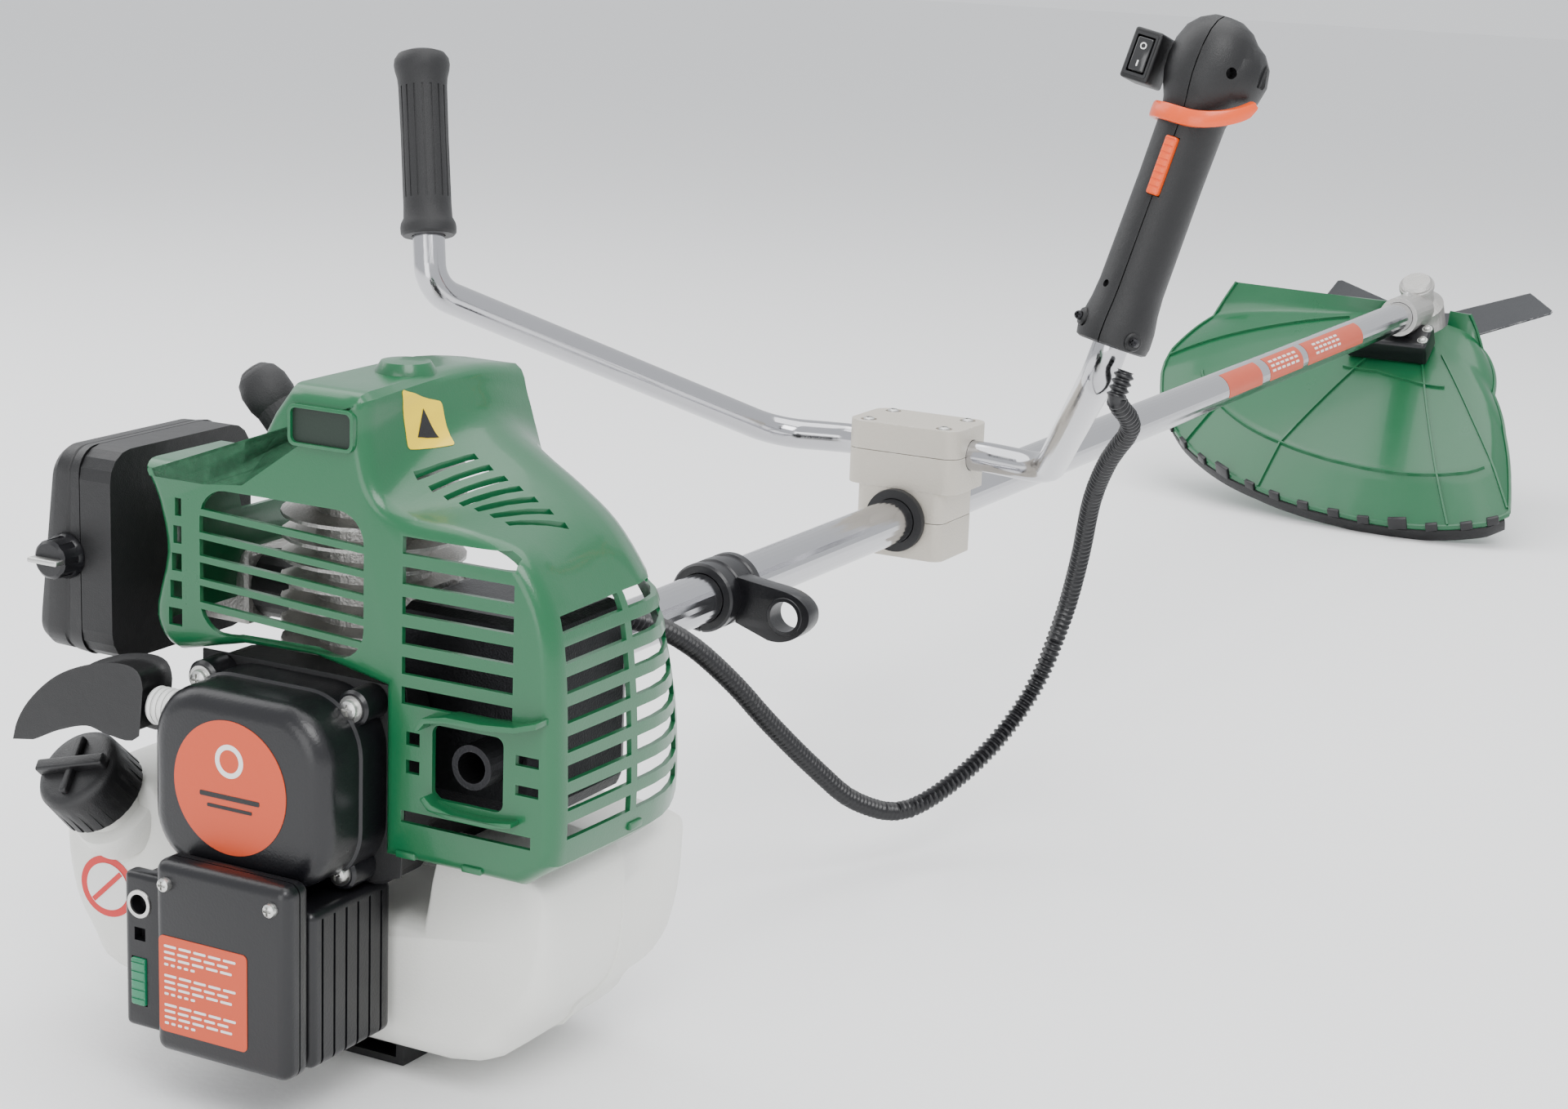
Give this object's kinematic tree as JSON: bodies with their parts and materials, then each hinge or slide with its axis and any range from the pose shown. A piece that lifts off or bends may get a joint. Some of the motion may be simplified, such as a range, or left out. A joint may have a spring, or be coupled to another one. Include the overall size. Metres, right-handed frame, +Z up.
{
  "type": "brush cutter",
  "caption": "Petrol brush cutter with a finned engine under a slotted cover, a straight shaft, a bike handlebar with grips, a steel blade and a guard.",
  "frame": {"origin": "middle of the flat underside of the foot under the engine, on the ground", "axes": "+Z up, +Y from the engine towards the blade in plan, +X to the user's right; the shaft rises 1.4 degrees towards the head so that the guard's trim stands on the same ground"},
  "size_m": [0.5318, 1.9252, 0.4882],
  "materials": {
    "green_plastic": "glossy moulded green",
    "black_plastic": "satin black moulding",
    "gloss_black": "glossy black moulding",
    "black_rubber": "matt black rubber",
    "cast_aluminium": "as cast, slightly dull",
    "painted_bracket": "beige paint on castings",
    "bright_tube": "bright plated tube",
    "steel": "machined steel",
    "dark_steel": "dark blackened steel",
    "white_tank": "milky white blow moulding",
    "orange_plastic": "orange moulding",
    "green_button": "green moulding",
    "foam": "oiled dark foam"
  },
  "bodies": {
    "machine": {"air_filter_base": "black_plastic", "air_filter_cover": "black_plastic", "air_filter_element": "foam", "battery": "green_button", "battery_box": "black_plastic", "battery_lid": "gloss_black", "bracket_base": "painted_bracket", "bracket_cap": "painted_bracket", "bracket_middle": "painted_bracket", "carburettor": "cast_aluminium", "clutch_housing": "cast_aluminium", "connecting_rod": "steel", "crankcase": "cast_aluminium", "cylinder": "cast_aluminium", "engine_cover": "green_plastic", "fan_housing": "black_plastic", "fuel_tank": "white_tank", "gear_cap": "cast_aluminium", "gear_case": "painted_bracket", "guard": "green_plastic", "guard_bracket": "cast_aluminium", "guard_trim": "black_rubber", "handle_inner_half": "black_plastic", "handle_outer_half": "black_plastic", "handlebar": "bright_tube", "harness_clamp": "black_plastic", "intake_manifold": "black_plastic", "left_grip": "black_rubber", "muffler": "dark_steel", "piston": "cast_aluminium", "plug_boot": "black_rubber", "recoil_housing": "gloss_black", "shaft_bush": "black_rubber", "shaft_liner": "black_plastic", "shaft_tube": "bright_tube", "spark_plug": "steel", "switch_box": "black_plastic", "switch_strip": "black_plastic", "tank_stand": "black_plastic", "throttle_conduit": "black_plastic"},
    "crank": {"crankshaft": "steel", "flywheel": "cast_aluminium", "clutch_rotor": "steel"},
    "drive": {"clutch_drum": "steel", "drive_shaft": "steel", "bevel_pinion": "steel"},
    "cutter": {"output_shaft": "steel", "blade_flange": "steel", "blade": "dark_steel", "blade_cup": "dark_steel", "blade_nut": "steel"},
    "trigger": {"throttle_trigger": "orange_plastic"},
    "throttle": {"throttle_cam": "steel"},
    "lockout": {"lockout_lever": "orange_plastic"},
    "rocker": {"switch_rocker": "gloss_black"},
    "button": {"start_button": "green_button"},
    "cap": {"fuel_cap": "black_plastic"},
    "knob": {"filter_knob": "black_plastic"},
    "pull": {"pull_handle": "black_plastic"},
    "pulley": {"recoil_pulley": "black_plastic"}
  },
  "joints": [
    {"name": "crank_spin", "type": "hinge", "parent": "machine", "child": "crank", "pos_m": [0, -0.01866, 0.14758], "axis": [0, 0.9997, 0.0248], "continuous": true},
    {"name": "blade_spin", "type": "hinge", "parent": "machine", "child": "cutter", "pos_m": [0, 1.69381, 0.19002], "axis": [0, -0.5508, 0.8347], "continuous": true},
    {"name": "drive_shaft_spin", "type": "hinge", "parent": "machine", "child": "drive", "pos_m": [0, 1.69381, 0.19002], "axis": [0, 0.9997, 0.0248], "continuous": true},
    {"name": "trigger_pull", "type": "hinge", "parent": "machine", "child": "trigger", "pos_m": [0.22049, 0.35165, 0.43572], "axis": [0, 0.979, -0.2037], "range_deg": [0, 6.5], "stiffness_Nm_per_rad": 0.6},
    {"name": "throttle_turn", "type": "hinge", "parent": "machine", "child": "throttle", "pos_m": [-0.073, -0.02065, 0.22786], "axis": [0, 0.0248, -0.9997], "range_deg": [0, 75]},
    {"name": "lockout_press", "type": "hinge", "parent": "machine", "child": "lockout", "pos_m": [0.23091, 0.32784, 0.39492], "axis": [0.9766, -0.0438, -0.2104], "range_deg": [-4, 0], "stiffness_Nm_per_rad": 0.3},
    {"name": "rocker_switch", "type": "hinge", "parent": "machine", "child": "rocker", "pos_m": [0.21314, 0.34268, 0.46381], "axis": [0.9766, -0.0438, -0.2104], "range_deg": [-8, 8]},
    {"name": "start_press", "type": "slide", "parent": "machine", "child": "button", "axis": [0, 0.9997, 0.0248], "range_m": [0, 0.0025], "stiffness_N_per_m": 300},
    {"name": "fuel_cap_turn", "type": "hinge", "parent": "machine", "child": "cap", "pos_m": [-0.114, -0.06046, 0.09853], "axis": [-0.1096, -0.7053, 0.7004], "range_deg": [0, 270]},
    {"name": "filter_knob_turn", "type": "hinge", "parent": "machine", "child": "knob", "pos_m": [-0.114, -0.09694, 0.22667], "axis": [0, -0.9997, -0.0248], "range_deg": [0, 360]},
    {"name": "pull_start", "type": "slide", "parent": "machine", "child": "pull", "axis": [-1, 0, 0], "range_m": [0, 0.35], "stiffness_N_per_m": 12},
    {"name": "recoil_turn", "type": "hinge", "parent": "machine", "child": "pulley", "pos_m": [0, -0.11463, 0.1452], "axis": [0, 0.9997, 0.0248], "range_deg": [-800, 0]}
  ],
  "couplings": [
    {"joint": "drive_shaft_spin", "follows": "blade_spin", "ratio": -1.3},
    {"joint": "throttle_turn", "follows": "trigger_pull", "ratio": 11},
    {"joint": "recoil_turn", "follows": "pull_start", "rad_per_m": -38.4}
  ]
}
